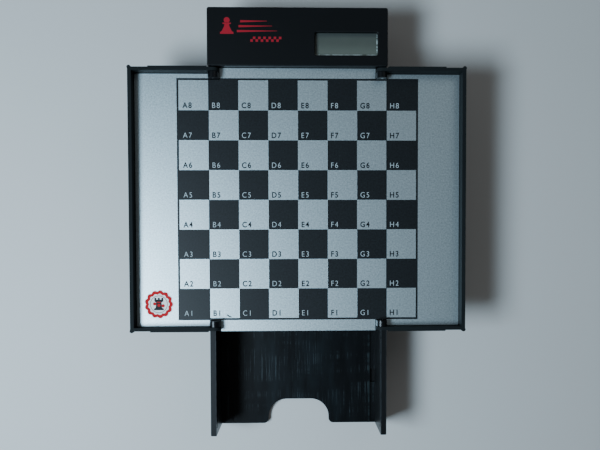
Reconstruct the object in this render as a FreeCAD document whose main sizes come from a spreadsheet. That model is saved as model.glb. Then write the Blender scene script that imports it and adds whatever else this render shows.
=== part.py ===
import FreeCAD, Part
import Sketcher
import os

# Travel chess computer: a black case with a display head at its rear end, a chess board that
# slides along the case on two runners and so covers or uncovers the keypad, and two shallow
# wings that fold out from the board's sides on pinned barrels.
#
# Frame: millimetres, +Z up, +Y towards the display head, +X to the player's right.  The origin
# is the centre of the whole outline, on the surface that the rubber feet stand on.

DOC = FreeCAD.newDocument("travel_chess_computer")

# ---------------------------------------------------------------------------------- sizes
# Every size that can be set by itself: alias, millimetres, what it is.
SIZES = (
    ("square", 18.0, "side of one square of the board"),
    ("strip_front", 8.0, "plain strip between rank 1 and the front edge of the plate"),
    ("strip_rear", 7.3, "plain strip between rank 8 and the rear edge of the plate"),
    ("seam_gap", 0.3, "gap between the plate and each wing"),
    ("sheet_thick", 0.6, "printed steel sheets"),
    ("carrier_thick", 1.6, "plastic plate under the centre sheet"),
    ("wing_width", 46.8, "one wing, from the seam to its outer face"),
    ("wing_floor", 1.4, "wing floor under its sheet"),
    ("wing_inset_front", 0.85, "wing end behind the front edge of the plate"),
    ("wing_inset_rear", 1.2, "wing end in front of the rear edge of the plate"),
    ("rim_height", 7.2, "wing rims above the playing surface"),
    ("end_rim", 2.0, "thickness of the rims along the wing ends"),
    ("side_rim", 2.2, "thickness of the rim along the wing's outer side"),
    ("sheet_gap", 0.3, "gap between the sheet of a wing and its rims"),
    ("lip_proud", 0.6, "ridge along the outside of each end rim"),
    ("lip_setback", 12.0, "end of that ridge short of the outer corner"),
    ("lip_height", 1.6, "height of that ridge"),
    ("ear_radius", 1.2, "knobs on the outer corners of the wings"),
    ("ear_proud", 1.0, "those knobs past the ends of the wing"),
    ("ear_side", 0.3, "those knobs past the outer side of the wing"),
    ("ear_height", 3.0, "height of those knobs, down from the top of the rims"),
    ("fold_gap", 0.9, "gap between the two folded wings"),
    ("rest_gap", 0.2, "gap under the rims of a folded wing"),
    ("post_radius", 3.2, "hinge posts on the plate"),
    ("post_length", 3.4, "length of each post along the hinge"),
    ("lug_radius", 3.45, "hinge lugs on the wings"),
    ("pin_radius", 0.8, "steel hinge pins"),
    ("pin_clearance", 0.05, "radial running clearance of a pin in its lug"),
    ("hinge_gap", 0.2, "side gap between post and lug"),
    ("case_overhang", 0.55, "outer face of the case past the plate's edge"),
    ("case_wall", 3.5, "side walls of the case"),
    ("case_floor", 2.0, "floor of the case"),
    ("back_wall", 2.5, "rear wall of the case"),
    ("bay_length", 65.6, "open bay in front of the plate"),
    ("bay_depth", 34.0, "case floor to playing surface"),
    ("foot_height", 1.2, "rubber feet below the case"),
    ("foot_radius", 4.5, "rubber feet"),
    ("foot_inset", 9.0, "foot centres from the case's sides and ends"),
    ("slide_gap", 0.3, "clearance around everything that slides with the board"),
    ("groove_drop", 2.4, "top of the wall to the top of the runner groove"),
    ("groove_height", 2.6, "runner groove in the walls"),
    ("groove_depth", 1.3, "runner groove into the wall"),
    ("groove_inset", 4.0, "closed front end of the groove from the end of the case"),
    ("runner_web", 1.5, "web of each runner"),
    ("runner_foot", 8.0, "screwed flange of each runner"),
    ("runner_plate", 1.2, "thickness of that flange"),
    ("notch_width", 40.0, "thumb notch in the end of the floor"),
    ("notch_depth", 16.2, "depth of the thumb notch"),
    ("notch_round", 12.0, "corners at the bottom of the thumb notch"),
    ("notch_lead", 3.0, "rounded mouth of the thumb notch"),
    ("rail_inset", 43.8, "inner side of each floor rail from the centre"),
    ("rail_width", 3.8, "floor rails"),
    ("rail_height", 0.8, "floor rails above the floor"),
    ("catch_length", 8.9, "catch slot in the floor beside the right wall"),
    ("catch_width", 3.1, "width of that slot"),
    ("catch_depth", 1.4, "depth of that slot"),
    ("catch_place", 27.1, "start of that slot from the end of the case"),
    ("edge_round", 0.6, "small rounding of moulded edges"),
    ("head_setback", 0.15, "sides of the head inside the case's outer faces"),
    ("head_length", 34.8, "display head"),
    ("head_rise", 4.2, "face of the head above the playing surface"),
    ("head_gap", 0.3, "gap between the plate and the head"),
    ("head_skin", 2.2, "top wall of the head"),
    ("head_wall", 2.5, "side walls of the head"),
    ("head_round", 1.3, "upright corners of the head"),
    ("head_lip", 1.5, "locating lip of the head inside the case"),
    ("lip_depth", 3.0, "depth of that lip"),
    ("fit", 0.2, "clearance between fixed parts that drop into one another"),
    ("window_side", 6.05, "right edge of the display window from the head's side"),
    ("window_width", 37.9, "display window"),
    ("window_length", 13.7, "display window"),
    ("window_front", 6.45, "window to the front face of the head"),
    ("window_round", 1.0, "corners of the window"),
    ("lens_thick", 1.2, "clear window"),
    ("glass_thick", 2.0, "liquid crystal cell"),
    ("frame_overlap", 2.5, "window and display reach past the opening"),
    ("window_reach", 0.6, "the same on the right, beside the wall of the head"),
    ("strip_thick", 1.6, "rubber contact strips"),
    ("deck_drop", 8.0, "keypad deck below the playing surface"),
    ("deck_thick", 2.0, "keypad deck"),
    ("deck_post", 3.5, "radius of the deck's screw posts"),
    ("bulkhead_place", 2.5, "bulkhead behind the front edge of the plate"),
    ("bulkhead_thick", 2.0, "bulkhead between the electronics and the bay"),
    ("key_width", 16.0, "key caps"),
    ("key_length", 9.0, "key caps"),
    ("key_space_side", 5.0, "gap between the caps of neighbouring keys, across"),
    ("key_space_long", 4.0, "gap between the caps of neighbouring keys, front to rear"),
    ("key_rise", 2.2, "key tops above the deck"),
    ("key_gap", 0.25, "clearance of a key in its hole"),
    ("key_flange", 1.0, "flange that holds a key under the deck"),
    ("key_flange_thick", 0.8, "thickness of that flange"),
    ("key_travel", 0.8, "press of a key"),
    ("key_round", 0.7, "rounded top edge of a key"),
    ("keypad_setback", 4.5, "caps of the rear key row from the head"),
    ("mat_margin", 1.5, "rubber key mat past the outer caps"),
    ("mat_thick", 0.8, "rubber key mat"),
    ("dome_radius", 3.0, "domes of the mat"),
    ("dome_height", 0.6, "domes of the mat"),
    ("board_thick", 1.6, "circuit board"),
    ("board_gap", 1.0, "circuit board to the posts and walls around it"),
    ("cell_radius", 7.2, "penlight cells"),
    ("cell_length", 50.0, "penlight cells, with their tips"),
    ("cell_space", 0.6, "gap between the cells"),
    ("cell_place", 10.0, "front end of the cells from the bulkhead"),
    ("holder_wall", 1.4, "battery holder"),
    ("tip_radius", 2.6, "positive tip of a cell"),
    ("tip_length", 1.5, "positive tip of a cell"),
    ("contact_thick", 0.4, "battery contacts"),
    ("contact_half", 4.5, "half width of a battery contact"),
    ("door_margin", 2.2, "edges of the battery door inside the outline of the cells"),
    ("door_thick", 1.2, "battery door"),
    ("hook_half", 4.0, "half width of the door's hooks"),
    ("hook_thick", 2.0, "hooks of the door"),
    ("grip_half", 12.0, "half width of the grip grooves in the door"),
    ("grip_width", 1.0, "grip grooves"),
    ("grip_space", 2.2, "spacing of the grip grooves"),
    ("grip_depth", 0.4, "depth of the grip grooves"),
    ("screw_radius", 1.3, "case screws"),
    ("screw_head", 2.5, "heads of the case screws"),
    ("screw_sink", 1.2, "heads sunk into the floor"),
    ("screw_slot", 0.35, "half width of the slot in a screw head"),
    ("screw_bite", 9.0, "depth of the screw holes in the posts"),
    ("screw_short", 2.0, "screws shorter than their holes"),
    ("post_inset", 7.0, "screw posts from the side walls"),
    ("post_clear", 6.0, "screw posts from the bulkhead and the rear wall"),
    ("jack_place", 24.0, "power jack left of the centre"),
    ("jack_height", 14.0, "power jack above the case floor"),
    ("jack_bore", 1.8, "radius of the plug hole"),
    ("jack_barrel", 3.4, "radius of the jack's barrel"),
    ("jack_depth", 11.0, "length of the plug hole"),
    ("jack_half", 4.5, "half the height and width of the jack's shell"),
    ("switch_width", 6.0, "knob of the power switch"),
    ("switch_length", 3.6, "knob of the power switch"),
    ("switch_travel", 4.0, "travel of the power switch"),
    ("switch_place", 3.5, "middle of the power switch from the side of the bay"),
    ("knob_rise", 1.4, "knob above the deck"),
    ("knob_flange", 0.8, "flange of the knob under the deck"),
    ("buzzer_radius", 11.0, "piezo buzzer"),
    ("buzzer_thick", 3.0, "piezo buzzer"),
    ("buzzer_place", 35.0, "middle of the buzzer in front of the head"),
    ("chip_length", 52.0, "processor package"),
    ("chip_width", 14.0, "processor and memory packages"),
    ("chip_thick", 4.0, "processor and memory packages"),
    ("chip_place", 34.0, "front side of the processor in front of the head"),
    ("memory_length", 32.0, "memory packages"),
    ("memory_space", 8.0, "gap between the memory packages"),
    ("memory_place", 12.0, "front side of the memory packages in front of the head"),
    ("crystal_length", 11.0, "crystal can"),
    ("crystal_width", 4.5, "crystal can"),
    ("crystal_thick", 3.5, "crystal can"),
    ("crystal_space", 6.0, "crystal to processor"),
)


class Size:
    """A length that knows both its value and the formula that gives it from the sheet."""

    def __init__(self, formula, value):
        self.formula = formula
        self.value = value

    def combine(self, other, sign, result):
        return Size("(%s %s %s)" % (self.formula, sign, size_of(other).formula), result)

    def __add__(self, other):
        return self.combine(other, "+", self.value + size_of(other).value)

    def __sub__(self, other):
        return self.combine(other, "-", self.value - size_of(other).value)

    def __mul__(self, other):
        return self.combine(other, "*", self.value * size_of(other).value)

    def __truediv__(self, other):
        return self.combine(other, "/", self.value / size_of(other).value)

    def __radd__(self, other):
        return size_of(other) + self

    def __rsub__(self, other):
        return size_of(other) - self

    def __rmul__(self, other):
        return size_of(other) * self

    def __neg__(self):
        return Size("(0 - %s)" % self.formula, -self.value)


def size_of(number):
    return number if isinstance(number, Size) else Size("%g" % number, float(number))


def make_sheet():
    """Write the driving dimensions into the spreadsheet and return them by name."""
    sheet = DOC.addObject("Spreadsheet::Sheet", "Sizes")
    named = {}
    for row, (alias, value, meaning) in enumerate(SIZES, start=1):
        sheet.set("A%d" % row, meaning)
        sheet.set("B%d" % row, "%g" % value)
        sheet.setAlias("B%d" % row, alias)
        named[alias] = Size("Sizes." + alias, value)
    DOC.recompute()
    return named


class Named(dict):
    """Dictionary read with a dot, for the driving sizes."""

    __getattr__ = dict.__getitem__


S = Named(make_sheet())
PAST = 1.0   # how far a cutting solid runs past the face that it opens

# Places along X (half widths, from the centre plane)
HALF_FILES = 3   # files on each side of the centre plane that lie on the plate
plate_half = HALF_FILES * S.square - S.seam_gap / 2
wing_inner = HALF_FILES * S.square + S.seam_gap / 2
wing_outer = wing_inner + S.wing_width
pivot_x = (wing_outer + S.fold_gap / 2) / 2
case_half = plate_half + S.case_overhang
bay_half = case_half - S.case_wall
head_half = case_half - S.head_setback
window_x1 = head_half - S.window_side
window_x0 = window_x1 - S.window_width
notch_plate = pivot_x - S.post_radius - S.seam_gap

# Places along Y
RANKS = 8
board_length = RANKS * S.square
total_length = (S.bay_length + S.strip_front + board_length + S.strip_rear
                + S.head_gap + S.head_length)
front_y = -(total_length / 2)
plate_y0 = front_y + S.bay_length
plate_y1 = plate_y0 + S.strip_front + board_length + S.strip_rear
head_y0 = plate_y1 + S.head_gap
head_y1 = head_y0 + S.head_length
inside_y1 = head_y1 - S.back_wall
wing_y0 = plate_y0 + S.wing_inset_front
wing_y1 = plate_y1 - S.wing_inset_rear
bulkhead_y0 = plate_y0 + S.bulkhead_place
bulkhead_y1 = bulkhead_y0 + S.bulkhead_thick

# Heights
case_z0 = S.foot_height
floor_z = case_z0 + S.case_floor
play_z = floor_z + S.bay_depth
carrier_z1 = play_z - S.sheet_thick
carrier_z0 = carrier_z1 - S.carrier_thick
wall_z = carrier_z0 - S.slide_gap
wing_z0 = play_z - S.sheet_thick - S.wing_floor
rim_z = play_z + S.rim_height
pivot_z = play_z + (S.rim_height + S.rest_gap) / 2
groove_z1 = wall_z - S.groove_drop
groove_z0 = groove_z1 - S.groove_height
deck_z1 = play_z - S.deck_drop
deck_z0 = deck_z1 - S.deck_thick
head_z1 = play_z + S.head_rise
flange_z0 = deck_z0 - S.key_flange_thick - S.fit / 4
mat_z1 = flange_z0 - S.key_travel - S.dome_height - S.fit / 4
mat_z0 = mat_z1 - S.mat_thick
board_z1 = mat_z0
board_z0 = board_z1 - S.board_thick
lens_z1 = head_z1 - S.head_skin
lens_z0 = lens_z1 - S.lens_thick
glass_z0 = lens_z0 - S.glass_thick


# ---------------------------------------------------------------------------------- tools
def plane_of(body, role):
    for feature in body.Origin.OriginFeatures:
        if feature.Role == role:
            return feature
    raise RuntimeError("no plane " + role)


def add_body(label):
    body = DOC.addObject("PartDesign::Body", label)
    body.Label = label
    return body


def add_sketch(body, height):
    """A sketch parallel to the ground at a height."""
    sketch = body.newObject("Sketcher::SketchObject", body.Name + "_sketch")
    sketch.AttachmentSupport = [(plane_of(body, "XY_Plane"), "")]
    sketch.MapMode = "FlatFace"
    sketch.setExpression("AttachmentOffset.Base.z", size_of(height).formula)
    return sketch


def bind(sketch, kind, *place):
    """Add a dimension to a sketch; the last argument is the size that drives it."""
    amount = size_of(place[-1])
    index = sketch.addConstraint(Sketcher.Constraint(kind, *place[:-1], amount.value))
    sketch.setExpression("Constraints[%d]" % index, amount.formula)


def draw_rectangle(sketch, x0, x1, y0, y1):
    ax, bx = size_of(x0), size_of(x1)
    ay, by = size_of(y0), size_of(y1)
    corners = [(ax, ay), (bx, ay), (bx, by), (ax, by)]
    points = [FreeCAD.Vector(cx.value, cy.value, 0) for cx, cy in corners]
    first = sketch.GeometryCount
    for k in range(4):
        sketch.addGeometry(Part.LineSegment(points[k], points[(k + 1) % 4]), False)
    for k in range(4):
        joined = (first + k, 2, first + (k + 1) % 4, 1)
        sketch.addConstraint(Sketcher.Constraint("Coincident", *joined))
        level = "Horizontal" if k % 2 == 0 else "Vertical"
        sketch.addConstraint(Sketcher.Constraint(level, first + k))
    for line, (cx, cy) in ((first, corners[0]), (first + 2, corners[2])):
        bind(sketch, "DistanceX", -1, 1, line, 1, cx)
        bind(sketch, "DistanceY", -1, 1, line, 1, cy)


def draw_circle(sketch, x, y, radius):
    cx, cy, r = size_of(x), size_of(y), size_of(radius)
    centre = FreeCAD.Vector(cx.value, cy.value, 0)
    index = sketch.addGeometry(Part.Circle(centre, FreeCAD.Vector(0, 0, 1), r.value), False)
    bind(sketch, "Radius", index, r)
    bind(sketch, "DistanceX", -1, 1, index, 3, cx)
    bind(sketch, "DistanceY", -1, 1, index, 3, cy)


def raise_sketch(body, sketch, z0, z1, remove):
    """Pad or pocket a sketch from z0 up to z1, and see that it changed the solid."""
    before = body.Shape.Volume if body.Tip else 0.0
    kind = "PartDesign::Pocket" if remove else "PartDesign::Pad"
    feature = body.newObject(kind, body.Name + ("_pocket" if remove else "_pad"))
    feature.Profile = sketch
    feature.Reversed = bool(remove)
    feature.setExpression("Length", (size_of(z1) - size_of(z0)).formula)
    DOC.recompute()
    change = body.Shape.Volume - before
    if change * (-1 if remove else 1) <= 0:
        raise RuntimeError("%s of %s changes nothing" % (kind, body.Label))
    return feature


def block(body, x0, x1, y0, y1, z0, z1, remove=False):
    sketch = add_sketch(body, z0)
    draw_rectangle(sketch, x0, x1, y0, y1)
    return raise_sketch(body, sketch, z0, z1, remove)


def discs(body, places, radius, z0, z1, remove=False):
    sketch = add_sketch(body, z0)
    for x, y in places:
        draw_circle(sketch, x, y, radius)
    return raise_sketch(body, sketch, z0, z1, remove)


def round_edges(body, radius, chosen):
    """Fillet the edges of the body's latest shape that the test picks out."""
    names = ["Edge%d" % n for n, edge in enumerate(body.Shape.Edges, start=1) if chosen(edge)]
    if not names:
        raise RuntimeError("no edge to round on " + body.Label)
    base = body.Tip
    fillet = body.newObject("PartDesign::Fillet", body.Name + "_fillet")
    fillet.Base = (base, names)
    fillet.setExpression("Radius", size_of(radius).formula)
    DOC.recompute()
    if "Invalid" in fillet.State or "Error" in fillet.State or body.Shape.isNull():
        raise RuntimeError("the rounding of %s failed" % body.Label)


def upright(edge, x=None, y=None, z=None):
    """True for a vertical edge whose |x|, y and middle height match those given."""
    a, b = edge.Vertexes[0].Point, edge.Vertexes[-1].Point
    if abs(a.x - b.x) > 1e-4 or abs(a.y - b.y) > 1e-4 or abs(a.z - b.z) < 1e-4:
        return False
    wanted = ((x, abs(a.x)), (y, a.y), (z, (a.z + b.z) / 2))
    return all(want is None or abs(size_of(want).value - got) < 1e-3 for want, got in wanted)


def level_at(edge, z):
    """True for an edge that lies flat at height z."""
    return all(abs(v.Point.z - size_of(z).value) < 1e-4 for v in edge.Vertexes)


def set_place(piece, x, y, z):
    for axis, amount in (("x", x), ("y", y), ("z", z)):
        piece.setExpression("Placement.Base." + axis, size_of(amount).formula)


def box(name, x0, x1, y0, y1, z0, z1):
    piece = DOC.addObject("Part::Box", name)
    for side, low, high in (("Length", x0, x1), ("Width", y0, y1), ("Height", z0, z1)):
        piece.setExpression(side, (size_of(high) - size_of(low)).formula)
    set_place(piece, x0, y0, z0)
    return piece


TURNS = {
    "X": FreeCAD.Rotation(FreeCAD.Vector(0, 1, 0), 90),
    "Y": FreeCAD.Rotation(FreeCAD.Vector(1, 0, 0), -90),
    "Z": FreeCAD.Rotation(),
}


def rod(name, axis, radius, length, x, y, z):
    """A cylinder that starts at x, y, z and runs along +axis."""
    piece = DOC.addObject("Part::Cylinder", name)
    piece.Placement.Rotation = TURNS[axis]
    piece.setExpression("Radius", size_of(radius).formula)
    piece.setExpression("Height", size_of(length).formula)
    set_place(piece, x, y, z)
    return piece


def join(name, pieces):
    whole = DOC.addObject("Part::MultiFuse", name)
    whole.Shapes = pieces
    whole.Refine = True
    return whole


def group(name, pieces):
    """Identical or matching solids that are stored together as one node."""
    whole = DOC.addObject("Part::Compound", name)
    whole.Links = pieces
    return whole


def cut(name, base, tools):
    whole = DOC.addObject("Part::Cut", name)
    whole.Base = base
    whole.Tool = tools[0] if len(tools) == 1 else join(name + "_tools", tools)
    return whole


# --------------------------------------------------------------------------- case (fixed)
key_pitch_side = S.key_width + S.key_space_side
key_pitch_long = S.key_length + S.key_space_long
KEY_ROWS = (
    ("key_a1", "key_b2", "key_c3", "key_d4"),
    ("key_e5", "key_f6", "key_g7", "key_h8"),
    ("key_info", "key_memory", "key_position", "key_level"),
    ("key_reset", "key_turn", "key_clear", "key_enter"),
)
keys_y1 = head_y0 - S.keypad_setback
keys_y0 = keys_y1 - (len(KEY_ROWS) - 1) * key_pitch_long - S.key_length
mat_y0 = keys_y0 - S.mat_margin

screw_x = bay_half - S.post_inset
deck_screws_y = (bulkhead_y1 + S.post_clear, mat_y0 - S.deck_post - S.board_gap / 2)
deck_screws = [(side * screw_x, y) for side in (-1, 1) for y in deck_screws_y]
head_screws_y = inside_y1 - S.post_clear
head_screws = [(side * screw_x, head_screws_y) for side in (-1, 1)]
case_screws = deck_screws + head_screws

cells_y0 = bulkhead_y1 + S.cell_place
cells_y1 = cells_y0 + S.cell_length
CELLS = 4
cell_pitch = 2 * S.cell_radius + S.cell_space
cells_half = (CELLS - 1) / 2 * cell_pitch + S.cell_radius
cell_z = floor_z + S.holder_wall / 2 + S.cell_radius
holder_half = cells_half + S.holder_wall
door_half = cells_half - S.door_margin
door_y0 = cells_y0 + S.door_margin
door_y1 = cells_y1 - S.door_margin
jack_z = floor_z + S.jack_height


def make_case_tray():
    """The U-shaped tray that everything stands in, open at its front end."""
    tray = add_body("case_tray")
    block(tray, -case_half, case_half, front_y, head_y1, case_z0, wall_z)
    block(tray, -bay_half, bay_half, front_y - PAST, inside_y1, floor_z, wall_z + PAST, True)
    notch_half = S.notch_width / 2
    notch_y = front_y + S.notch_depth
    block(tray, -notch_half, notch_half, front_y - PAST, notch_y, case_z0 - PAST, floor_z, True)
    block(tray, -door_half, door_half, door_y0, door_y1, case_z0 - PAST, floor_z, True)
    groove_x = bay_half + S.groove_depth
    block(tray, -groove_x, groove_x, front_y + S.groove_inset, head_y0,
          groove_z0, groove_z1, True)
    catch_y = front_y + S.catch_place
    block(tray, bay_half - S.catch_width, bay_half, catch_y, catch_y + S.catch_length,
          floor_z - S.catch_depth, floor_z, True)
    discs(tray, case_screws, S.screw_radius + S.fit, case_z0 - PAST, floor_z + PAST, True)
    discs(tray, case_screws, S.screw_head + S.fit, case_z0 - PAST,
          case_z0 + S.screw_sink, True)
    for side in (-1, 1):
        near, far = S.rail_inset, S.rail_inset + S.rail_width
        low, high = (near, far) if side > 0 else (-far, -near)
        block(tray, low, high, front_y + S.edge_round, bulkhead_y0 - S.fit,
              floor_z, floor_z + S.rail_height)
    round_edges(tray, S.notch_round, lambda e: upright(e, x=notch_half, y=notch_y))
    round_edges(tray, S.notch_lead, lambda e: upright(e, x=notch_half, y=front_y))
    round_edges(tray, S.head_round, lambda e: upright(e, x=case_half, y=head_y1))
    round_edges(tray, S.edge_round, lambda e: upright(e, x=case_half, y=front_y))
    jack_hole = rod("jack_hole", "Y", S.jack_barrel + S.fit, S.back_wall + 2 * PAST,
                    -S.jack_place, inside_y1 - PAST, jack_z)
    tray.Label = "case_tray_moulding"
    whole = cut("case_tray", tray, [jack_hole])
    whole.Label = "case_tray"
    return whole


def make_head_cover():
    """The shell over the display, with its window and its lip inside the case walls."""
    cover = add_body("head_cover")
    block(cover, -head_half, head_half, head_y0, head_y1, wall_z, head_z1)
    lip_half = bay_half - S.fit
    block(cover, -lip_half, lip_half, head_y0, inside_y1 - S.fit, wall_z - S.lip_depth, wall_z)
    block(cover, -lip_half, lip_half, head_y0, head_y0 + S.head_wall,
          deck_z1 + S.fit, wall_z - S.lip_depth)
    hollow_half = lip_half - S.head_lip
    block(cover, -hollow_half, hollow_half, head_y0 + S.head_wall,
          inside_y1 - S.fit - S.head_lip, wall_z - S.lip_depth - PAST, lens_z1, True)
    window_y = head_y0 + S.window_front
    block(cover, window_x0, window_x1, window_y, window_y + S.window_length,
          lens_z1 - PAST, head_z1 + PAST, True)
    round_edges(cover, S.window_round,
                lambda e: upright(e, x=window_x0) or upright(e, x=window_x1))
    round_edges(cover, S.head_round, lambda e: upright(e, x=head_half))
    round_edges(cover, S.edge_round, lambda e: level_at(e, head_z1))
    for x, y in head_screws:
        discs(cover, [(x, y)], S.deck_post, floor_z + S.fit, lens_z1 + S.head_skin / 2)
        discs(cover, [(x, y)], S.screw_radius, floor_z, floor_z + S.screw_bite, True)
    return cover


def make_display():
    """Window, liquid crystal cell, its holder and the rubber contact strips."""
    x0, x1 = window_x0 - S.frame_overlap, window_x1 + S.window_reach
    y0 = head_y0 + S.window_front - S.frame_overlap
    y1 = head_y0 + S.window_front + S.window_length + S.frame_overlap
    lens = box("lcd_window", x0, x1, y0, y1, lens_z0, lens_z1)
    glass = box("lcd_glass", x0, x1, y0, y1, glass_z0, lens_z0)
    outer = box("lcd_holder_block", x0, x1, y0, y1, board_z1, glass_z0)
    wall = S.holder_wall
    room = box("lcd_holder_room", x0 + wall, x1 - wall, y0 + wall, y1 - wall,
               board_z1 - PAST, glass_z0 + PAST)
    holder = cut("lcd_holder", outer, [room])
    strips = [box("strip_" + end, x0 + 2 * wall, x1 - 2 * wall, y, y + S.strip_thick,
                  board_z1, glass_z0)
              for end, y in (("front", y0 + wall), ("rear", y1 - wall - S.strip_thick))]
    return [lens, glass, holder, group("contact_strips", strips)]


def key_places():
    """Each key's name and the centre of its cap."""
    for row, names in enumerate(KEY_ROWS):
        for column, name in enumerate(names):
            x = (column - (len(names) - 1) / 2) * key_pitch_side
            y = keys_y1 - S.key_length / 2 - row * key_pitch_long
            yield name, x, y


def make_key(name, x, y):
    key = add_body(name)
    wide, deep = S.key_width / 2, S.key_length / 2
    flange = S.key_flange + S.key_gap
    block(key, x - wide - flange, x + wide + flange, y - deep - flange, y + deep + flange,
          flange_z0, flange_z0 + S.key_flange_thick)
    block(key, x - wide, x + wide, y - deep, y + deep, flange_z0 + S.key_flange_thick,
          deck_z1 + S.key_rise)
    round_edges(key, S.key_round, lambda e: level_at(e, deck_z1 + S.key_rise))
    return key


switch_x = bay_half - S.switch_place
switch_y = keys_y0 + S.key_length / 2
knob_z0 = deck_z0 - 2 * S.knob_flange


def make_keypad_deck():
    """Cover plate over the electronics, with the key holes, the bulkhead and screw posts."""
    deck = add_body("keypad_deck")
    edge = bay_half - S.fit
    deck_y1 = head_y0 + S.head_wall
    block(deck, -edge, edge, bulkhead_y0, deck_y1, deck_z0, deck_z1)
    block(deck, -edge, edge, bulkhead_y0, bulkhead_y1, floor_z, deck_z0)
    discs(deck, deck_screws, S.deck_post, floor_z, deck_z0)
    discs(deck, deck_screws, S.screw_radius, floor_z - PAST, floor_z + S.screw_bite, True)
    sketch = add_sketch(deck, deck_z0 - PAST)
    wide, deep = S.key_width / 2 + S.key_gap, S.key_length / 2 + S.key_gap
    for _, x, y in key_places():
        draw_rectangle(sketch, x - wide, x + wide, y - deep, y + deep)
    slot = (S.switch_length + S.switch_travel) / 2 + S.key_gap
    knob = S.switch_width / 2 + S.key_gap
    draw_rectangle(sketch, switch_x - knob / 2, switch_x + knob / 2,
                   switch_y - slot, switch_y + slot)
    raise_sketch(deck, sketch, deck_z0 - PAST, deck_z1 + PAST, True)
    return deck


def make_key_mat():
    mat = add_body("key_mat")
    gaps = len(KEY_ROWS[0]) - 1
    reach_x = gaps / 2 * key_pitch_side + S.key_width / 2 + S.mat_margin
    block(mat, -reach_x, reach_x, mat_y0, keys_y1 + S.mat_margin, mat_z0, mat_z1)
    discs(mat, [(x, y) for _, x, y in key_places()], S.dome_radius,
          mat_z1, mat_z1 + S.dome_height)
    return mat


def make_electronics():
    """Circuit board, chips, crystal, buzzer, jack and the body of the power switch."""
    pcb_y0 = deck_screws_y[1] + S.deck_post + S.board_gap
    pcb_y1 = head_screws_y - S.deck_post - S.board_gap
    pcb_half = bay_half - S.fit - S.head_lip - S.board_gap
    pcb = box("main_board", -pcb_half, pcb_half, pcb_y0, pcb_y1, board_z0, board_z1)
    chip_y, chip_z = head_y0 - S.chip_place, board_z0 - S.chip_thick
    cpu = box("processor_chip", -S.chip_length / 2, S.chip_length / 2,
              chip_y, chip_y + S.chip_width, chip_z, board_z0)
    memory_y = head_y0 - S.memory_place
    near, far = S.memory_space / 2, S.memory_space / 2 + S.memory_length
    roms = group("memory_chips", [
        box("memory_" + word, x0, x1, memory_y, memory_y + S.chip_width, chip_z, board_z0)
        for word, x0, x1 in (("left", -far, -near), ("right", near, far))])
    crystal_x = S.chip_length / 2 + S.crystal_space
    crystal = box("crystal_can", crystal_x, crystal_x + S.crystal_length,
                  chip_y, chip_y + S.crystal_width, board_z0 - S.crystal_thick, board_z0)
    buzzer = rod("piezo_buzzer", "Z", S.buzzer_radius, S.buzzer_thick, 0,
                 head_y0 - S.buzzer_place, floor_z)
    barrel_y0 = head_y1 - S.jack_depth - S.holder_wall
    barrel = rod("jack_barrel", "Y", S.jack_barrel, S.jack_depth + S.holder_wall,
                 -S.jack_place, barrel_y0, jack_z)
    shell = box("jack_shell", -S.jack_place - S.jack_half, -S.jack_place + S.jack_half,
                barrel_y0, inside_y1 - S.fit, jack_z - S.jack_half, jack_z + S.jack_half)
    bore = rod("jack_bore_tool", "Y", S.jack_bore, S.jack_depth + PAST, -S.jack_place,
               head_y1 - S.jack_depth, jack_z)
    jack = cut("power_jack", join("jack_body", [barrel, shell]), [bore])
    switch_half = (S.switch_length + S.switch_travel) / 2 + 2 * S.knob_flange
    switch_x0 = switch_x - S.switch_width / 4 - S.knob_flange
    switch = box("switch_body", switch_x0, 2 * switch_x - switch_x0,
                 switch_y - switch_half, switch_y + switch_half, board_z1,
                 knob_z0 - S.fit / 2)
    return [pcb, cpu, roms, crystal, buzzer, jack, switch]


def make_switch_knob():
    """The power switch's knob, at the off end of its slot."""
    y0 = switch_y + S.switch_travel / 2 - S.switch_length / 2
    y1 = y0 + S.switch_length
    half, edge = S.switch_width / 4, S.knob_flange
    stem = box("knob_stem", switch_x - half, switch_x + half, y0, y1,
               knob_z0 + edge, deck_z1 + S.knob_rise)
    flange = box("knob_flange_plate", switch_x - half - edge, switch_x + half + edge,
                 y0 - edge, y1 + edge, knob_z0, knob_z0 + edge)
    return join("switch_knob", [stem, flange])


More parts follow.
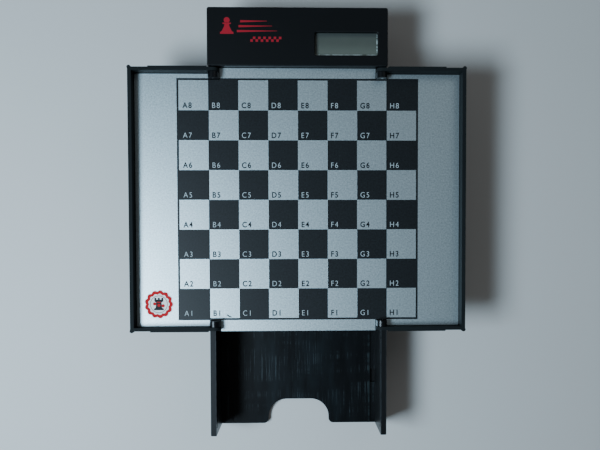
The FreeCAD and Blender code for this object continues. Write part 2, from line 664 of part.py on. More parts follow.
def make_battery_pack():
    """Four cells in a holder that opens downwards, their contacts and the door."""
    places = [(n - (CELLS - 1) / 2) * cell_pitch for n in range(CELLS)]
    can_length = S.cell_length - S.tip_length
    cells = []
    for n, x in enumerate(places):
        tip_first = n % 2 == 1
        can_y = cells_y0 + S.tip_length if tip_first else cells_y0
        tip_y = cells_y0 if tip_first else cells_y0 + can_length
        can = rod("cell_can_%d" % n, "Y", S.cell_radius, can_length, x, can_y, cell_z)
        tip = rod("cell_tip_%d" % n, "Y", S.tip_radius, S.tip_length, x, tip_y, cell_z)
        cells.append(join("cell_%d" % n, [can, tip]))
    battery = group("battery_cells", cells)
    wall = S.holder_wall
    reach = S.contact_thick + S.fit
    top = cell_z + S.cell_radius + S.fit
    outer = box("holder_block", -holder_half - S.fit, holder_half + S.fit,
                cells_y0 - reach - wall, cells_y1 + reach + wall, floor_z, top + wall)
    room = box("holder_room", -cells_half - S.fit, cells_half + S.fit,
               cells_y0 - reach, cells_y1 + reach, floor_z - PAST, top)
    holder = cut("battery_holder", outer, [room])
    plates = []
    half = S.contact_half
    for n, x in enumerate(places):
        for end, y in (("front", cells_y0 - S.contact_thick), ("rear", cells_y1)):
            plates.append(box("contact_%s_%d" % (end, n), x - half, x + half, y,
                              y + S.contact_thick, cell_z - half, cell_z + half))
    contacts = group("battery_contacts", plates)
    edge = S.fit
    plate = box("door_plate", -door_half + edge, door_half - edge, door_y0 + edge,
                door_y1 - edge, case_z0, case_z0 + S.door_thick)
    hook_y1 = door_y1 - edge
    hooks = [box("door_hook_%d" % n, x - S.hook_half, x + S.hook_half,
                 hook_y1 - S.hook_thick, hook_y1, case_z0 + S.door_thick, floor_z)
             for n, x in enumerate((-door_half / 2, door_half / 2))]
    grips = []
    for n in range(1, 5):
        y = door_y0 + S.grip_space * n
        grips.append(box("door_grip_%d" % n, -S.grip_half, S.grip_half, y,
                         y + S.grip_width, case_z0 - PAST, case_z0 + S.grip_depth))
    door = cut("battery_door", join("door_moulding", [plate] + hooks), grips)
    return [battery, holder, contacts, door]


def make_case_screws():
    screws = []
    for n, (x, y) in enumerate(case_screws):
        head = rod("screw_head_%d" % n, "Z", S.screw_head, S.screw_sink - S.fit,
                   x, y, case_z0 + S.fit)
        shank = rod("screw_shank_%d" % n, "Z", S.screw_radius,
                    S.screw_bite - S.screw_short, x, y, case_z0 + S.screw_sink)
        drive = box("screw_drive_%d" % n, x - S.screw_head, x + S.screw_head,
                    y - S.screw_slot, y + S.screw_slot, case_z0 - PAST,
                    case_z0 + S.screw_sink / 2)
        screws.append(cut("case_screw_%d" % n, join("screw_%d" % n, [head, shank]), [drive]))
    return group("case_screws", screws)


def make_feet():
    feet_x = case_half - S.foot_inset
    feet = [rod("foot_%d" % n, "Z", S.foot_radius, S.foot_height, side * feet_x, y, 0)
            for n, (side, y) in enumerate(
                [(s, end) for s in (-1, 1)
                 for end in (front_y + S.foot_inset, head_y1 - S.foot_inset)])]
    return group("rubber_feet", feet)


# ---------------------------------------------------------------------------- board (slides)
pin_length = S.post_length + S.hinge_gap + S.end_rim
lug_rear_y0 = wing_y1 - S.end_rim
post_rear_y0 = lug_rear_y0 - S.hinge_gap - S.post_length
post_front_y0 = wing_y0 + S.end_rim + S.hinge_gap


def make_board_carrier():
    """Plastic plate under the centre sheet, with the four hinge posts."""
    plate = add_body("carrier_plate")
    block(plate, -plate_half, plate_half, plate_y0, plate_y1, carrier_z0, carrier_z1)
    posts = [plate]
    holes = []
    for side in (-1, 1):
        x = side * pivot_x
        for end, y0 in (("front", post_front_y0), ("rear", post_rear_y0)):
            name = "post_%s_%s" % (end, "right" if side > 0 else "left")
            posts.append(box(name, x - S.post_radius, x + S.post_radius, y0,
                             y0 + S.post_length, carrier_z1 - S.carrier_thick / 2, pivot_z))
            posts.append(rod(name + "_top", "Y", S.post_radius, S.post_length, x, y0, pivot_z))
            holes.append(rod(name + "_hole", "Y", S.pin_radius, S.post_length + 2 * PAST,
                             x, y0 - PAST, pivot_z))
    return cut("board_carrier", join("carrier_moulding", posts), holes)


def make_centre_sheet():
    """Printed steel sheet with its corners cut away round the hinge posts."""
    sheet = add_body("centre_sheet")
    block(sheet, -plate_half, plate_half, plate_y0, plate_y1, carrier_z1, play_z)
    clear_front = post_front_y0 + S.post_length + S.seam_gap
    clear_rear = post_rear_y0 - S.seam_gap
    for side in (-1, 1):
        low, high = (notch_plate, plate_half + PAST) if side > 0 else (-plate_half - PAST,
                                                                       -notch_plate)
        block(sheet, low, high, plate_y0 - PAST, clear_front, carrier_z1 - PAST,
              play_z + PAST, True)
        block(sheet, low, high, clear_rear, plate_y1 + PAST, carrier_z1 - PAST,
              play_z + PAST, True)
    return sheet


runner_y0 = plate_y0 + S.groove_inset
runner_y1 = plate_y1 - S.groove_inset


def make_runner(name, side):
    """One angle strip under the plate whose tongue runs in the wall's groove."""
    web_out = bay_half - S.slide_gap
    web_in = web_out - S.runner_web
    tongue = bay_half + S.groove_depth - S.slide_gap

    def strip(part, near, far, z0, z1):
        low, high = (near, far) if side > 0 else (-far, -near)
        return box(name + part, low, high, runner_y0, runner_y1, z0, z1)

    low_z = groove_z0 + S.slide_gap
    return join(name, [
        strip("_web", web_in, web_out, low_z, carrier_z0),
        strip("_tongue", web_in, tongue, low_z, groove_z1 - S.slide_gap),
        strip("_flange", web_in - S.runner_foot, web_in, carrier_z0 - S.runner_plate,
              carrier_z0)])


def make_hinge_pins():
    pins = []
    for side in (-1, 1):
        for end, y0 in (("front", wing_y0), ("rear", post_rear_y0)):
            name = "pin_%s_%s" % (end, "right" if side > 0 else "left")
            pins.append(rod(name, "Y", S.pin_radius, pin_length, side * pivot_x, y0, pivot_z))
    return group("hinge_pins", pins)


# --------------------------------------------------------------------------------- wings
def make_wing(word, side):
    """A shallow tray with three rims, and its printed steel sheet."""
    def spread(near, far):
        return (near, far) if side > 0 else (-far, -near)

    tray = add_body(word + "_wing_moulding")
    low, high = spread(wing_inner, wing_outer)
    block(tray, low, high, wing_y0, wing_y1, wing_z0, rim_z)
    low, high = spread(wing_inner - PAST, wing_outer - S.side_rim)
    block(tray, low, high, wing_y0 + S.end_rim, wing_y1 - S.end_rim, carrier_z1,
          rim_z + PAST, True)
    round_edges(tray, S.edge_round, lambda e: upright(e, x=wing_outer))
    pieces = [tray]
    low, high = spread(wing_inner, wing_outer - S.lip_setback)
    for end, y in (("front", wing_y0 - S.lip_proud), ("rear", wing_y1)):
        pieces.append(box("%s_lip_%s" % (word, end), low, high, y, y + S.lip_proud,
                          rim_z - S.lip_height, rim_z))
    ear_x = side * (wing_outer + S.ear_side - S.ear_radius)
    for end, y in (("front", wing_y0 - S.ear_proud + S.ear_radius),
                   ("rear", wing_y1 + S.ear_proud - S.ear_radius)):
        pieces.append(rod("%s_ear_%s" % (word, end), "Z", S.ear_radius, S.ear_height,
                          ear_x, y, rim_z - S.ear_height))
    tools = []
    low, high = spread(pivot_x, wing_inner + S.side_rim)
    for end, y in (("front", wing_y0), ("rear", lug_rear_y0)):
        name = "%s_lug_%s" % (word, end)
        pieces.append(box(name, low, high, y, y + S.end_rim, pivot_z - S.lug_radius,
                          pivot_z + S.lug_radius))
        pieces.append(rod(name + "_round", "Y", S.lug_radius, S.end_rim,
                          side * pivot_x, y, pivot_z))
        tools.append(rod(name + "_bore", "Y", S.pin_radius + S.pin_clearance,
                         S.end_rim + 2 * PAST, side * pivot_x, y - PAST, pivot_z))
    wing = cut(word + "_wing_tray", join(word + "_wing_whole", pieces), tools)
    low, high = spread(wing_inner, wing_outer - S.side_rim - S.sheet_gap)
    sheet = box(word + "_sheet", low, high, wing_y0 + S.end_rim + S.sheet_gap,
                wing_y1 - S.end_rim - S.sheet_gap, carrier_z1, play_z)
    return [wing, sheet]


# -------------------------------------------------------------------------- build and save
nodes = [make_case_tray(), make_head_cover(), make_keypad_deck(), make_key_mat(),
         make_switch_knob(), make_case_screws(), make_feet()]
nodes += make_display() + make_electronics() + make_battery_pack()
nodes += [make_key(name, x, y) for name, x, y in key_places()]
nodes += [make_board_carrier(), make_centre_sheet(), make_runner("left_runner", -1),
          make_runner("right_runner", 1), make_hinge_pins()]
nodes += make_wing("left", -1) + make_wing("right", 1)

DOC.recompute()
for item in DOC.Objects:
    if "Invalid" in item.State or "Error" in item.State:
        raise RuntimeError("%s: %s" % (item.Label, item.State))
os.makedirs("parts", exist_ok=True)
for node in nodes:
    if node.Shape.isNull() or not node.Shape.isValid() or node.Shape.Volume <= 0:
        raise RuntimeError(node.Label + " has no valid solid")
    node.Shape.exportStep("parts/%s.step" % node.Label)
    print("%-18s %9.1f mm3  %d solid(s)" % (node.Label, node.Shape.Volume,
                                            len(node.Shape.Solids)))
print(len(nodes), "nodes")
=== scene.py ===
"""Looks of the travel chess computer: materials, board print, emblem, sticker, light and camera.

Everything is in metres, in the frame of the CAD model: +X right, +Y towards the display head, +Z up.
"""
import math

import bmesh
import bpy
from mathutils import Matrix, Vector


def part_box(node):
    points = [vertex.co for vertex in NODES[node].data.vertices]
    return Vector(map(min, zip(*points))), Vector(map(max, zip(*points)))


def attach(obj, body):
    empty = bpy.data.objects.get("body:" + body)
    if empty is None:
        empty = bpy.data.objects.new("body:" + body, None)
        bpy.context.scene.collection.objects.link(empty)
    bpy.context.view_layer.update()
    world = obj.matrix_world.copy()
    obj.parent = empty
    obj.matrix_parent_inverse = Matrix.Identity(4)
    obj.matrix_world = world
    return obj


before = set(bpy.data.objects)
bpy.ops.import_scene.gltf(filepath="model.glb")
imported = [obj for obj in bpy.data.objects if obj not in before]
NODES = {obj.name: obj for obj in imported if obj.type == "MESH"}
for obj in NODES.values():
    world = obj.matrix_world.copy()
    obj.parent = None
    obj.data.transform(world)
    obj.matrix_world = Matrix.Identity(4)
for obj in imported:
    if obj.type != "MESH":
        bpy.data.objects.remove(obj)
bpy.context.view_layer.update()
MM = 0.001

# ------------------------------------------------------------------ sizes of the CAD model
SHEET_LOW, SHEET_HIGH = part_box("centre_sheet")
LEFT_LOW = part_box("left_sheet")[0]
RIGHT_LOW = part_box("right_sheet")[0]
HEAD_LOW, HEAD_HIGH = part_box("head_cover")
GLASS_LOW, GLASS_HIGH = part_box("lcd_glass")
TRAY_LOW, TRAY_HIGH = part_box("case_tray")

STRIP_FRONT = 8.0 * MM                           # plain strip between rank 1 and the sheet's edge
CASE_WALL = 3.5 * MM                             # side walls of the case
CASE_FLOOR = 2.0 * MM                            # floor of the case
RAIL_INNER = 43.8 * MM                           # inner side of the floor rails
RAIL_OUTER = 47.6 * MM                           # outer side of the floor rails
CATCH_DEPTH = 1.5 * MM                           # slot in the floor painted dark as shade, down to a little over its depth
GLASS_HIDDEN = 2.5 * MM                          # display behind the edge of its opening
GLASS_HIDDEN_RIGHT = 0.6 * MM                    # the same on the right

SEAM = (SHEET_HIGH.x + RIGHT_LOW.x) / 2          # seam between files G and H
SQUARE = SEAM / 3                                # three files on each side of the centre
FILES = 8
RANK_ONE = SHEET_LOW.y + STRIP_FRONT             # front edge of rank 1
BOARD_LEFT = -FILES / 2 * SQUARE                 # left edge of file A
PLAY_Z = SHEET_HIGH.z
FLOOR_TOP = TRAY_LOW.z + CASE_FLOOR              # upper face of the case floor
BAY_SIDE = TRAY_HIGH.x - CASE_WALL               # inner face of the case's side wall

INK = 0.012 * MM                                 # thickness of printed ink
PAPER = 0.12 * MM                                # thickness of a sticker

# scales of the grain in the materials, in features per metre
SPARK = 5200                                     # spark-eroded moulds, speckle of printed ink
CLOUDS = 46                                      # broad uneven shade of black plastic
EDGE_PATCHES = 160                                       # patches of wear and painted highlight along edges


# ----------------------------------------------------------------------------- shader graphs
class Graph:
    """A material and short ways to add nodes to it."""

    def __init__(self, name):
        self.material = bpy.data.materials.new(name)
        self.material.use_nodes = True
        self.tree = self.material.node_tree
        self.shader = self.tree.nodes["Principled BSDF"]
        self.place = self.add("ShaderNodeTexCoord").outputs["Object"]

    def add(self, kind, **settings):
        """A new node with its settings."""
        node = self.tree.nodes.new(kind)
        for key, value in settings.items():
            setattr(node, key, value)
        return node

    def feed(self, socket, value):
        """Link another socket to this one, or set its value."""
        if isinstance(value, bpy.types.NodeSocket):
            self.tree.links.new(value, socket)
        elif isinstance(value, tuple) and len(value) == 3 and socket.type == "RGBA":
            socket.default_value = (*value, 1.0)
        else:
            socket.default_value = value

    def math(self, operation, *values, clamp=False):
        node = self.add("ShaderNodeMath", operation=operation, use_clamp=clamp)
        for socket, value in zip(node.inputs, values):
            self.feed(socket, value)
        return node.outputs[0]

    def mix(self, factor, first, second):
        node = self.add("ShaderNodeMix", data_type="RGBA")
        self.feed(node.inputs["Factor"], factor)
        colours = [socket for socket in node.inputs if socket.type == "RGBA"]
        self.feed(colours[0], first)
        self.feed(colours[1], second)
        return [socket for socket in node.outputs if socket.type == "RGBA"][0]

    def blend(self, factor, low, high):
        """A number that goes from low to high as the factor goes from 0 to 1."""
        node = self.add("ShaderNodeMapRange")
        for name, value in (("Value", factor), ("To Min", low), ("To Max", high)):
            self.feed(node.inputs[name], value)
        return node.outputs["Result"]

    def step(self, value, low, high):
        """0 below low, 1 above high, smooth between."""
        node = self.add("ShaderNodeMapRange", interpolation_type="SMOOTHSTEP")
        for name, amount in (("Value", value), ("From Min", low), ("From Max", high)):
            self.feed(node.inputs[name], amount)
        return node.outputs["Result"]

    def stretch(self, x, y, z):
        """Places scaled differently along each axis, for streaks."""
        node = self.add("ShaderNodeMapping")
        self.feed(node.inputs["Vector"], self.place)
        node.inputs["Scale"].default_value = (x, y, z)
        return node.outputs[0]

    def noise(self, scale, detail=3.0, rough=0.55, where=None):
        node = self.add("ShaderNodeTexNoise")
        self.feed(node.inputs["Vector"], where or self.place)
        node.inputs["Scale"].default_value = scale
        node.inputs["Detail"].default_value = detail
        node.inputs["Roughness"].default_value = rough
        return node.outputs["Fac"]

    def cells(self, scale):
        """Distance to the nearest of many scattered points."""
        node = self.add("ShaderNodeTexVoronoi")
        self.feed(node.inputs["Vector"], self.place)
        node.inputs["Scale"].default_value = scale
        return node.outputs["Distance"]

    def axes(self):
        """X, Y and Z of the place, as three sockets."""
        node = self.add("ShaderNodeSeparateXYZ")
        self.feed(node.inputs[0], self.place)
        return node.outputs

    def box_edges(self, low, high, width):
        """1 within a width of the edges of a box, where two of its faces are near; for wear and
        painted edge highlights.
        """
        near = []
        for value, a, b in zip(self.axes(), low, high):
            half = (b - a) / 2
            reach = self.math("ABSOLUTE", self.math("SUBTRACT", value, (a + b) / 2))
            near.append(self.step(reach, half - width, half - 0.4 * width))
        count = self.math("ADD", self.math("ADD", near[0], near[1]), near[2])
        return self.math("GREATER_THAN", count, 1.5)

    def bump(self, height, distance, strength):
        node = self.add("ShaderNodeBump")
        self.feed(node.inputs["Height"], height)
        node.inputs["Distance"].default_value = distance
        node.inputs["Strength"].default_value = strength
        return node.outputs["Normal"]

    def finish(self, colour, roughness, normal, **others):
        """Fill the shader's sockets; others are given by name, with _ for each space."""
        self.feed(self.shader.inputs["Base Color"], colour)
        self.feed(self.shader.inputs["Roughness"], roughness)
        self.feed(self.shader.inputs["Normal"], normal)
        for name, value in others.items():
            self.feed(self.shader.inputs[name.replace("_", " ")], value)
        return self.material


BLACK = (0.0018, 0.0024, 0.0030)                 # case and head
BLACK_WORN_AND_LIT = (0.050, 0.060, 0.068)               # the same where edges show wear and a painted highlight
WING = (0.0100, 0.0120, 0.0126)                  # the wings' slightly greyer black
BLACK_SHINE = 0.24
EDGE_BAND = 0.45 * MM                            # width of the edges with wear and a painted highlight


def shaded(colour, share):
    """A colour made darker or lighter."""
    return tuple(share * part for part in colour)


def spark_plastic(name, node, dark=BLACK, rough=0.48, shine=BLACK_SHINE, wear=0.35):
    """Matt moulded plastic with a fine spark-eroded texture, with a little wear and a painted
    highlight at its outer edges.
    """
    g = Graph(name)
    fine = g.noise(SPARK, 3.0, 0.65)
    mottle = g.noise(1250, 4.0, 0.7)
    clouds = g.noise(CLOUDS, 4.0, 0.6)
    # wear and painted highlight: the outer edges are lighter in patches
    rubbed_and_lit = g.math("MULTIPLY", g.box_edges(*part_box(node), EDGE_BAND),
                    g.step(g.noise(EDGE_PATCHES, 4.0, 0.7), 0.34, 0.62))
    dust = g.step(g.noise(1300, 2.0, 0.5), 0.70, 0.78)
    colour = g.mix(g.math("MULTIPLY", clouds, 0.6), dark, shaded(dark, 1.8))
    colour = g.mix(g.math("MULTIPLY", dust, 0.05), colour, (0.16, 0.16, 0.155))
    colour = g.mix(g.math("MULTIPLY", rubbed_and_lit, wear), colour, BLACK_WORN_AND_LIT)
    roughness = g.math("ADD", g.blend(mottle, rough - 0.08, rough + 0.08),
                       g.math("MULTIPLY", rubbed_and_lit, -0.12))
    height = g.math("ADD", fine, mottle)
    return g.finish(colour, roughness, g.bump(height, 0.04 * MM, 0.5), Specular_IOR_Level=shine)


def tray_plastic(name):
    """The case: matt outside, and smooth with lengthwise scratches on the floor of the bay, with a
    painted reflection of the window on that floor, painted highlights along its rails and edges, and
    painted shade in the slot of the floor.
    """
    g = Graph(name)
    x, _, z = g.axes()
    side = g.math("ABSOLUTE", x)
    inside = g.math("LESS_THAN", side, BAY_SIDE + 0.1 * MM)
    above = g.math("GREATER_THAN", z, FLOOR_TOP - 0.2 * MM)
    smooth = g.math("MULTIPLY", inside, above)
    fine = g.noise(SPARK, 3.0, 0.65)
    clouds = g.noise(CLOUDS, 4.0, 0.6)
    streaks = g.noise(1.0, 5.0, 0.75, g.stretch(900, 24, 300))
    broad = g.noise(1.0, 3.0, 0.6, g.stretch(150, 30, 60))
    # stripes across the bay where a painted reflection lightens the scratches and the line on the
    # rails
    reflection_bands = g.noise(1.0, 3.0, 0.6, g.stretch(20, 120, 60))
    scratch = g.step(streaks, 0.54, 0.70)
    lines = g.step(g.noise(1.0, 2.0, 0.5, g.stretch(2200, 16, 300)), 0.64, 0.70)
    # scratches of wear, shown only in those stripes and lightened there as a painted reflection
    scratches_and_sheen = g.math("MULTIPLY", g.math("ADD", scratch, lines, clamp=True), smooth)
    scratches_and_sheen = g.math("MULTIPLY", scratches_and_sheen, g.step(reflection_bands, 0.42, 0.62))
    # painted reflection: a bluish sheen of the window in the middle of the floor
    middle = g.math("SUBTRACT", 1.0, g.step(side, 18 * MM, 46 * MM))
    painted_sheen = g.math("MULTIPLY", g.step(broad, 0.30, 0.75), g.math("MULTIPLY", smooth, middle))

    def along(place, width):
        """1 within a width of a line that runs the length of the case at each side."""
        away = g.math("ABSOLUTE", g.math("SUBTRACT", side, place))
        return g.math("LESS_THAN", away, width)

    # the inner top edge of each side wall, with wear and a painted highlight
    lip = g.math("MULTIPLY", along(BAY_SIDE, 0.35 * MM),
                 g.math("GREATER_THAN", z, TRAY_HIGH.z - 0.4 * MM))
    edges = g.math("ADD", g.box_edges(TRAY_LOW, TRAY_HIGH, EDGE_BAND), lip, clamp=True)
    rubbed_and_lit = g.math("MULTIPLY", edges, g.step(g.noise(EDGE_PATCHES, 4.0, 0.7), 0.32, 0.60))
    colour = g.mix(g.math("MULTIPLY", clouds, 0.5), BLACK, shaded(BLACK, 1.6))
    colour = g.mix(g.math("MULTIPLY", painted_sheen, 0.8), colour, (0.0045, 0.0085, 0.011))
    colour = g.mix(g.math("MULTIPLY", scratches_and_sheen, 0.50), colour, (0.052, 0.080, 0.090))
    colour = g.mix(g.math("MULTIPLY", rubbed_and_lit, 0.45), colour, BLACK_WORN_AND_LIT)
    # painted highlight: a thin light line along the top of the floor rails
    rail_highlight = g.math("MULTIPLY", along(RAIL_INNER + 3.0 * MM, 0.45 * MM), smooth)
    polished = g.math("MULTIPLY", rail_highlight, g.step(reflection_bands, 0.38, 0.60))
    colour = g.mix(polished, colour, (0.016, 0.025, 0.027))
    # painted shade: the slot in the floor is painted almost black
    sunk = g.math("MULTIPLY", g.math("LESS_THAN", z, FLOOR_TOP - 0.05 * MM),
                  g.math("GREATER_THAN", z, FLOOR_TOP - CATCH_DEPTH))
    beside = g.math("MULTIPLY", g.math("LESS_THAN", side, BAY_SIDE - 0.01 * MM),
                    g.math("GREATER_THAN", x, RAIL_OUTER + 0.1 * MM))
    catch_shade = g.math("MULTIPLY", beside, sunk)
    colour = g.mix(catch_shade, colour, (0.0002, 0.0002, 0.0003))
    matt = g.blend(clouds, 0.42, 0.54)
    gloss = g.math("ADD", g.blend(broad, 0.26, 0.40), g.math("MULTIPLY", scratches_and_sheen, 0.16))
    roughness = g.blend(smooth, matt, gloss)
    grain = g.math("MULTIPLY", fine, g.math("SUBTRACT", 1.0, smooth))
    height = g.math("ADD", grain, g.math("MULTIPLY", scratches_and_sheen, -0.35))
    return g.finish(colour, roughness, g.bump(height, 0.05 * MM, 0.6),
                    Specular_IOR_Level=BLACK_SHINE)


SILVER_ROUGH = 0.43
SILVER_METAL = 0.95
BORDER = 0.070                                   # border line round the board, in squares


def board_print(name):
    """Silver sheet with screen-printed squares and a thin border line."""
    g = Graph(name)
    x, y, _ = g.axes()
    u = g.math("DIVIDE", g.math("SUBTRACT", x, BOARD_LEFT), SQUARE)
    v = g.math("DIVIDE", g.math("SUBTRACT", y, RANK_ONE), SQUARE)
    wobble = g.math("MULTIPLY", g.math("SUBTRACT", g.noise(2600, 2.0, 0.5), 0.5), 0.012)
    u, v = g.math("ADD", u, wobble), g.math("ADD", v, wobble)
    parity = g.math("MODULO", g.math("ADD", g.math("FLOOR", u), g.math("FLOOR", v)), 2.0)
    dark = g.math("LESS_THAN", g.math("ABSOLUTE", parity), 0.5)

    def area(margin):
        """1 on the squares and on a margin round them."""
        sides = [g.math("MULTIPLY", g.math("GREATER_THAN", value, -margin),
                        g.math("LESS_THAN", value, FILES + margin)) for value in (u, v)]
        return g.math("MULTIPLY", *sides)

    board = area(0.0)
    outline = g.math("SUBTRACT", area(BORDER), board)
    ink = g.math("ADD", g.math("MULTIPLY", dark, board), outline, clamp=True)

    grain = g.noise(1050, 5.0, 0.8)
    flakes = g.cells(3600)
    clouds = g.noise(30, 5.0, 0.6)
    scuff = g.step(g.noise(1.0, 4.0, 0.7, g.stretch(420, 60, 60)), 0.64, 0.76)
    rubs = g.step(g.noise(240, 5.0, 0.75), 0.66, 0.80)
    silver = g.mix(g.step(grain, 0.25, 0.75), (0.41, 0.505, 0.54), (0.80, 0.91, 0.94))
    silver = g.mix(g.math("MULTIPLY", clouds, 0.20), silver, (0.60, 0.69, 0.72))
    silver = g.mix(g.math("MULTIPLY", rubs, 0.14), silver, (0.40, 0.45, 0.47))
    charcoal = g.mix(g.step(grain, 0.25, 0.75), (0.0004, 0.0006, 0.0008), (0.0110, 0.0148, 0.0175))
    charcoal = g.mix(g.math("MULTIPLY", scuff, 0.15), charcoal, (0.050, 0.060, 0.066))
    colour = g.mix(ink, silver, charcoal)
    roughness = g.blend(ink, g.blend(grain, SILVER_ROUGH - 0.06, SILVER_ROUGH + 0.06),
                        g.blend(grain, 0.36, 0.58))
    metallic = g.blend(ink, SILVER_METAL, 0.0)
    height = g.math("ADD", g.math("MULTIPLY", grain, 0.6),
                    g.math("ADD", g.math("MULTIPLY", flakes, 0.4), g.math("MULTIPLY", ink, 0.9)))
    return g.finish(colour, roughness, g.bump(height, 0.02 * MM, 0.5), Metallic=metallic,
                    Specular_IOR_Level=0.34)


def display_cell(name):
    """Liquid crystal cell at rest: grey-green, with painted shade from the head along its far side
    and along its left edge, painted light towards the front, and painted glints along the front edge
    and the right end.
    """
    g = Graph(name)
    x, y, _ = g.axes()
    left, right = GLASS_LOW.x + GLASS_HIDDEN, GLASS_HIGH.x - GLASS_HIDDEN_RIGHT
    near, far = GLASS_LOW.y + GLASS_HIDDEN, GLASS_HIGH.y - GLASS_HIDDEN
    blotch = g.noise(180, 4.0, 0.6)
    fine = g.noise(1800, 3.0, 0.6)
    colour = g.mix(blotch, (0.045, 0.052, 0.040), (0.064, 0.073, 0.055))
    colour = g.mix(g.math("MULTIPLY", fine, 0.25), colour, (0.084, 0.094, 0.070))
    shade = g.step(y, far - 3.0 * MM, far - 0.5 * MM)
    colour = g.mix(g.math("MULTIPLY", shade, 0.85), colour, (0.020, 0.026, 0.024))
    # painted light: the cell is lighter towards the front
    front = g.math("SUBTRACT", 1.0, g.step(y, near, far - 4 * MM))
    colour = g.mix(front, colour, (0.115, 0.126, 0.096))
    # painted glints along the front edge and at the right end
    line = g.math("MULTIPLY", g.math("LESS_THAN", y, near + 1.5 * MM),
                  g.step(g.noise(1.0, 2.0, 0.5, g.stretch(160, 1, 1)), 0.35, 0.55))
    end = g.math("MULTIPLY", g.math("GREATER_THAN", x, right - 0.55 * MM),
                 g.step(g.noise(1.0, 2.0, 0.5, g.stretch(1, 420, 1)), 0.42, 0.58))
    glint = g.math("ADD", line, end, clamp=True)
    colour = g.mix(g.math("MULTIPLY", glint, 0.8), colour, (0.66, 0.74, 0.70))
    # painted shade along the left edge
    edge = g.math("LESS_THAN", x, left + 0.4 * MM)
    colour = g.mix(g.math("MULTIPLY", edge, 0.5), colour, (0.04, 0.05, 0.045))
    roughness = g.blend(blotch, 0.34, 0.46)
    return g.finish(colour, roughness, g.bump(fine, 0.01 * MM, 0.3), Coat_Weight=0.2)


def clear_window(name):
    """Clear acrylic with fine handling marks."""
    g = Graph(name)
    marks = g.step(g.noise(1.0, 4.0, 0.7, g.stretch(500, 1600, 300)), 0.62, 0.80)
    tint = g.mix(g.noise(200), (0.30, 0.34, 0.32), (0.40, 0.44, 0.42))
    return g.finish(tint, g.blend(marks, 0.05, 0.2), g.bump(marks, 0.004 * MM, 0.4),
                    Alpha=g.blend(marks, 0.10, 0.22), IOR=1.49)


def printed_ink(name, colour, rough=0.5):
    """Screen-printed ink, a little uneven."""
    g = Graph(name)
    speckle = g.noise(SPARK, 3.0, 0.6)
    patch = g.noise(900, 3.0, 0.6)
    shade = g.mix(g.math("MULTIPLY", speckle, 0.7), colour, shaded(colour, 0.72))
    return g.finish(shade, g.blend(patch, rough - 0.08, rough + 0.08),
                    g.bump(speckle, 0.008 * MM, 0.4), Specular_IOR_Level=0.14)


def sticker_paper(name):
    """White coated paper, slightly stained."""
    g = Graph(name)
    fibres = g.noise(1.0, 4.0, 0.7, g.stretch(2600, 700, 900))
    stain = g.noise(220, 4.0, 0.6)
    colour = g.mix(g.step(stain, 0.45, 0.75), (0.93, 0.94, 0.93), (0.84, 0.84, 0.82))
    return g.finish(colour, g.blend(fibres, 0.45, 0.62), g.bump(fibres, 0.01 * MM, 0.4))


def soft_rubber(name, colour):
    """Matt rubber with a pale bloom."""
    g = Graph(name)
    fine = g.noise(2400, 4.0, 0.6)
    bloom = g.noise(120, 4.0, 0.6)
    shade = g.mix(g.math("MULTIPLY", bloom, 0.6), colour, tuple(c * 1.8 + 0.01 for c in colour))
    return g.finish(shade, g.blend(fine, 0.70, 0.86), g.bump(fine, 0.05 * MM, 0.5),
                    Specular_IOR_Level=0.3)


def plated_steel(name, colour=(0.62, 0.62, 0.60), rough=0.24):
    """Brushed plated steel with a few dull spots."""
    g = Graph(name)
    brushed = g.noise(1.0, 4.0, 0.7, g.stretch(900, 60, 4000))
    spots = g.step(g.noise(900, 4.0, 0.7), 0.64, 0.76)
    shade = g.mix(g.math("MULTIPLY", spots, 0.4), colour, (0.28, 0.25, 0.21))
    roughness = g.math("ADD", g.blend(brushed, rough - 0.06, rough + 0.10),
                       g.math("MULTIPLY", spots, 0.2))
    return g.finish(shade, roughness, g.bump(brushed, 0.01 * MM, 0.4), Metallic=1.0)


def key_plastic(name, colour):
    """Smooth plastic with a little grime."""
    g = Graph(name)
    fine = g.noise(4200, 3.0, 0.6)
    grime = g.math("MULTIPLY", g.step(g.noise(210, 4.0, 0.65), 0.45, 0.8), 0.35)
    shade = g.mix(grime, colour, shaded(colour, 0.62))
    return g.finish(shade, g.blend(fine, 0.37, 0.50), g.bump(fine, 0.02 * MM, 0.5))


def runner_plastic(name):
    """Pale self-lubricating plastic, polished along the way it slides."""
    g = Graph(name)
    wear = g.noise(1.0, 4.0, 0.7, g.stretch(1200, 16, 1200))
    shade = g.mix(g.step(wear, 0.4, 0.75), (0.050, 0.052, 0.055), (0.105, 0.108, 0.11))
    return g.finish(shade, g.blend(wear, 0.30, 0.46), g.bump(wear, 0.02 * MM, 0.5))


def circuit_board(name):
    """Green solder mask over fine copper traces."""
    g = Graph(name)
    grid = g.add("ShaderNodeTexBrick")
    g.feed(grid.inputs["Vector"], g.stretch(420, 420, 420))
    grid.inputs["Mortar Size"].default_value = 0.03
    traces = grid.outputs["Fac"]
    weave = g.noise(1800, 2.0, 0.6)
    shade = g.mix(traces, (0.012, 0.085, 0.030), (0.040, 0.20, 0.070))
    shade = g.mix(g.math("MULTIPLY", weave, 0.3), shade, (0.02, 0.12, 0.05))
    return g.finish(shade, g.blend(weave, 0.28, 0.42), g.bump(traces, 0.03 * MM, 0.6))


